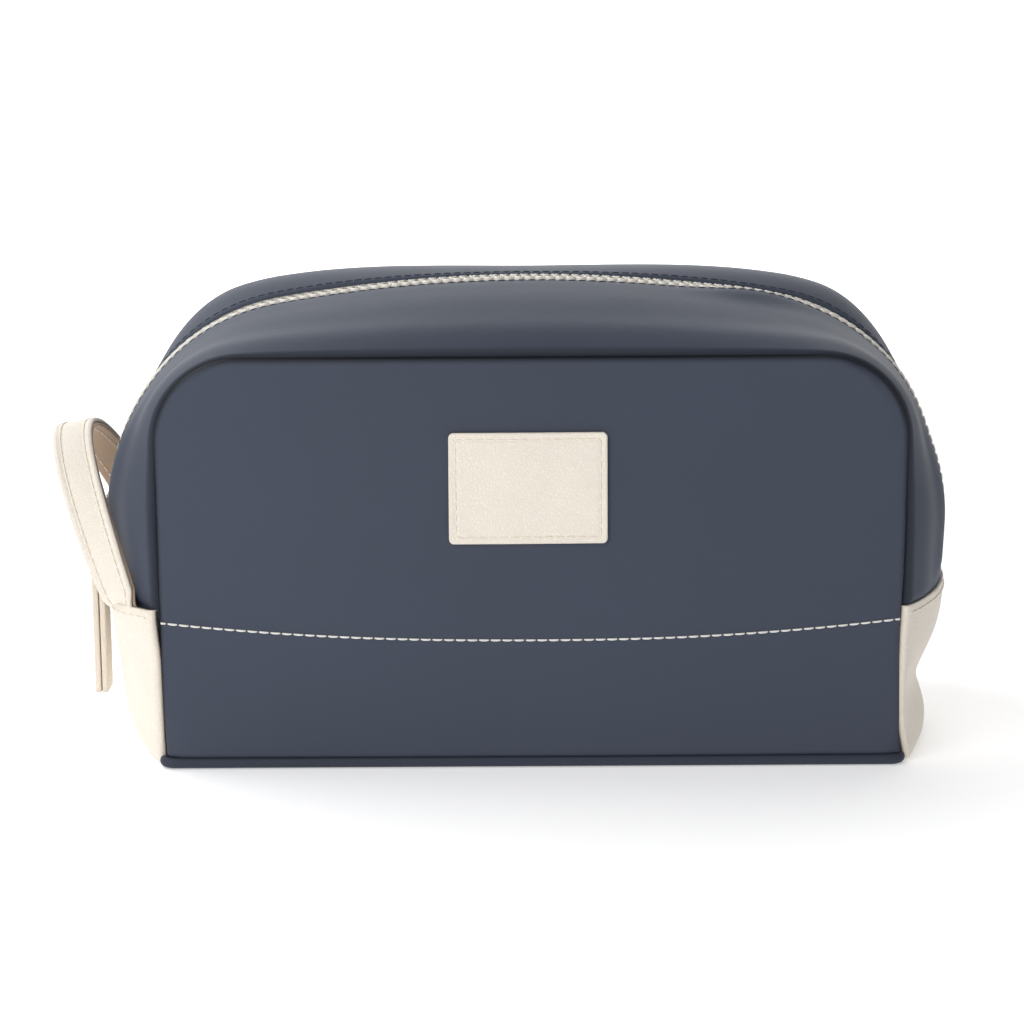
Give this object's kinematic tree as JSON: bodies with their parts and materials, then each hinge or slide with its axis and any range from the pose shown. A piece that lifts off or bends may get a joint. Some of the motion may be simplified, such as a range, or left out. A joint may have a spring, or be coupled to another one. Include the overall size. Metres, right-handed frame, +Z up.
{
  "type": "shaving kit bag",
  "caption": "Boxy soft shaving kit bag with a piped base, pale end patches, a zip over the top, a loop handle on one end and a folded leather zip pull.",
  "frame": {"origin": "centre of the flat underside of the base", "axes": "+X along the bag's length, away from the handle; -Y out of the labelled front; +Z up"},
  "size_m": [0.2999, 0.1316, 0.1536],
  "materials": {
    "navy_leatherette": "matte",
    "cream_leather": "matte",
    "zip_resin": "satin",
    "zip_tape": "matte",
    "lining_cloth": "matte",
    "slider_metal": "satin",
    "base_board": "matte"
  },
  "bodies": {
    "base_shell": {"base_panel": "navy_leatherette", "base_welt_front": "navy_leatherette", "base_welt_rear": "navy_leatherette", "base_board": "base_board", "lining_base": "lining_cloth", "front_panel_lower": "navy_leatherette", "rear_panel_lower": "navy_leatherette", "left_end_patch": "cream_leather", "right_end_patch": "cream_leather", "lining_front_lower": "lining_cloth", "lining_rear_lower": "lining_cloth", "lining_left_end": "lining_cloth", "lining_right_end": "lining_cloth", "zip_tape_front_foot": "zip_tape", "zip_tape_rear_foot": "zip_tape", "zip_teeth_front_foot": "zip_resin", "zip_teeth_rear_foot": "zip_resin"},
    "front_half": {"front_panel_upper": "navy_leatherette", "gusset_front": "navy_leatherette", "zip_tape_front": "zip_tape", "zip_teeth_front": "zip_resin", "label_patch": "cream_leather", "lining_front_upper": "lining_cloth", "lining_gusset_front": "lining_cloth"},
    "rear_half": {"rear_panel_upper": "navy_leatherette", "gusset_rear": "navy_leatherette", "zip_tape_rear": "zip_tape", "zip_teeth_rear": "zip_resin", "lining_rear_upper": "lining_cloth", "lining_gusset_rear": "lining_cloth", "slip_pocket": "lining_cloth"},
    "slider": {"slider_body": "slider_metal", "slider_crown": "slider_metal"},
    "pull": {"pull_ring": "slider_metal", "pull_tab": "cream_leather"},
    "handle": {"handle_strap_outer": "cream_leather", "handle_strap_inner": "cream_leather"}
  },
  "joints": [
    {"name": "mouth_front", "type": "hinge", "parent": "base_shell", "child": "front_half", "pos_m": [0, -0.0655, 0.054], "axis": [1, 0, 0], "range_deg": [0, 16]},
    {"name": "mouth_rear", "type": "hinge", "parent": "base_shell", "child": "rear_half", "pos_m": [0, 0.0655, 0.054], "axis": [-1, 0, 0], "range_deg": [0, 16]},
    {"name": "slider_travel", "type": "hinge", "parent": "base_shell", "child": "slider", "pos_m": [-0.0715, 0, 0.0766], "axis": [0, 1, 0], "range_deg": [0, 24]},
    {"name": "pull_swing", "type": "hinge", "parent": "slider", "child": "pull", "pos_m": [-0.14603, 0, 0.07335], "axis": [0, 1, 0], "range_deg": [-1, 110]},
    {"name": "handle_swing", "type": "hinge", "parent": "base_shell", "child": "handle", "pos_m": [-0.1345, 0, 0.054], "axis": [0, -1, 0], "range_deg": [-2, 70]}
  ]
}
